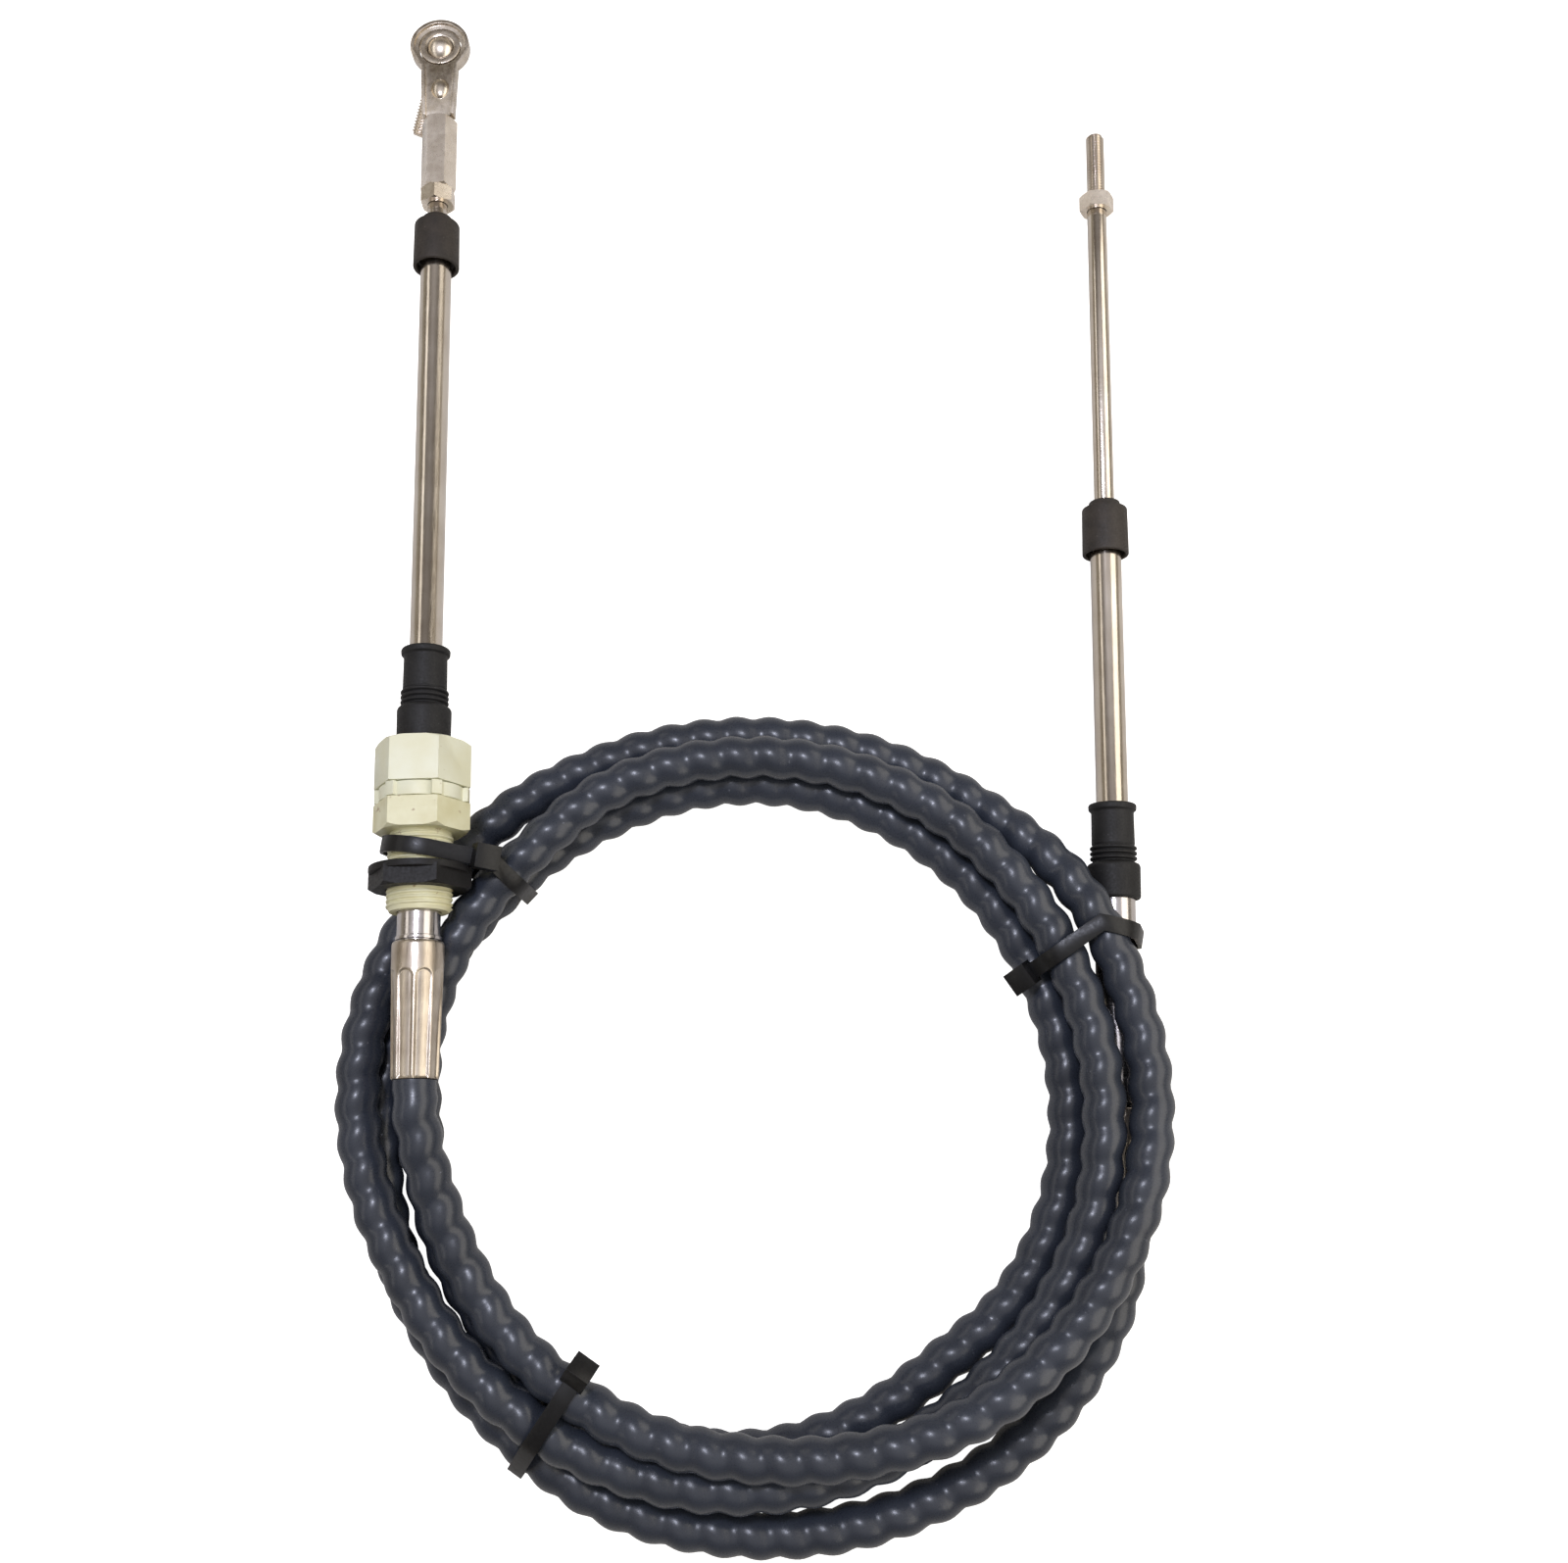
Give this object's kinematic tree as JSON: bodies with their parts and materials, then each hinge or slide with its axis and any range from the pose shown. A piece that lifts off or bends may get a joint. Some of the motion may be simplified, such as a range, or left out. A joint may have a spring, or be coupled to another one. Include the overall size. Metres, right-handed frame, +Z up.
{
  "type": "boat steering cable",
  "caption": "Coiled boat steering cable: dark conduit with a stainless push-pull rod at each end, rubber boots, an ivory bulkhead fitting, a ball-joint eye and black cable ties.",
  "frame": {"origin": "on the floor that the coil lies on, under the middle of the whole part's width and length", "axes": "+Z up from the floor, +Y along both cable ends towards their tips, +X towards the plain threaded end"},
  "size_m": [0.2442, 0.4838, 0.0464],
  "materials": {
    "conduit_cover": "semi-gloss extruded cover, with the helix of the armour showing through",
    "ferrule_steel": "crimped stainless with fluted marks",
    "hub_steel": "turned stainless, polished",
    "tube_steel": "drawn stainless tube, bright",
    "rod_steel": "ground stainless rod with a rolled thread",
    "fastener_steel": "stainless, satin with chamfered corners",
    "eye_steel": "pressed stainless plate, worn satin",
    "boot_rubber": "black moulded rubber",
    "cap_plastic": "dark brown-black moulded plastic",
    "ivory_plastic": "ivory moulded plastic, yellowed in places",
    "locknut_plastic": "black moulded plastic",
    "tie_plastic": "black nylon"
  },
  "bodies": {
    "cable": {"conduit": "conduit_cover", "left_ferrule": "ferrule_steel", "left_hub": "hub_steel", "left_boot": "boot_rubber", "bulkhead_body": "ivory_plastic", "bulkhead_ring": "ivory_plastic", "bulkhead_cap_nut": "ivory_plastic", "bulkhead_locknut": "locknut_plastic", "right_ferrule": "ferrule_steel", "right_hub": "hub_steel", "right_boot": "boot_rubber", "lower_left_cable_tie": "tie_plastic", "right_cable_tie": "tie_plastic", "upper_left_cable_tie": "tie_plastic"},
    "left_guide": {"left_support_tube": "tube_steel", "left_wiper_cap": "cap_plastic"},
    "left_ram": {"left_rod": "rod_steel", "left_jam_nut": "fastener_steel", "rod_end_coupling": "fastener_steel", "rod_end_eye": "eye_steel", "ball_race": "eye_steel"},
    "left_stud": {"ball_stud": "fastener_steel"},
    "right_guide": {"right_support_tube": "tube_steel", "right_wiper_cap": "cap_plastic"},
    "right_ram": {"right_rod": "rod_steel", "right_nut": "fastener_steel"}
  },
  "joints": [
    {"name": "left_swivel", "type": "hinge", "parent": "cable", "child": "left_guide", "pos_m": [-0.09915, -0.00331, 0.02937], "axis": [0, 0, 1], "range_deg": [-8, 8], "deforming": ["left_boot"]},
    {"name": "left_rod_slide", "type": "slide", "parent": "left_guide", "child": "left_ram", "axis": [-0.0296, 0.9985, -0.0454], "range_m": [0, 0.0762]},
    {"name": "ball_stud_swing", "type": "hinge", "parent": "left_ram", "child": "left_stud", "pos_m": [-0.10613, 0.2317, 0.0187], "axis": [0.9184, -0.3951, 0.0192], "range_deg": [0, 58]},
    {"name": "right_swivel", "type": "hinge", "parent": "cable", "child": "right_guide", "pos_m": [0.11061, -0.04736, 0.0085], "axis": [0, 0, 1], "range_deg": [-8, 8], "deforming": ["right_boot"]},
    {"name": "right_rod_slide", "type": "slide", "parent": "right_guide", "child": "right_ram", "axis": [0.0157, 0.9999, 0], "range_m": [-0.0762, 0]}
  ],
  "couplings": [
    {"joint": "right_rod_slide", "follows": "left_rod_slide", "ratio": -1}
  ]
}
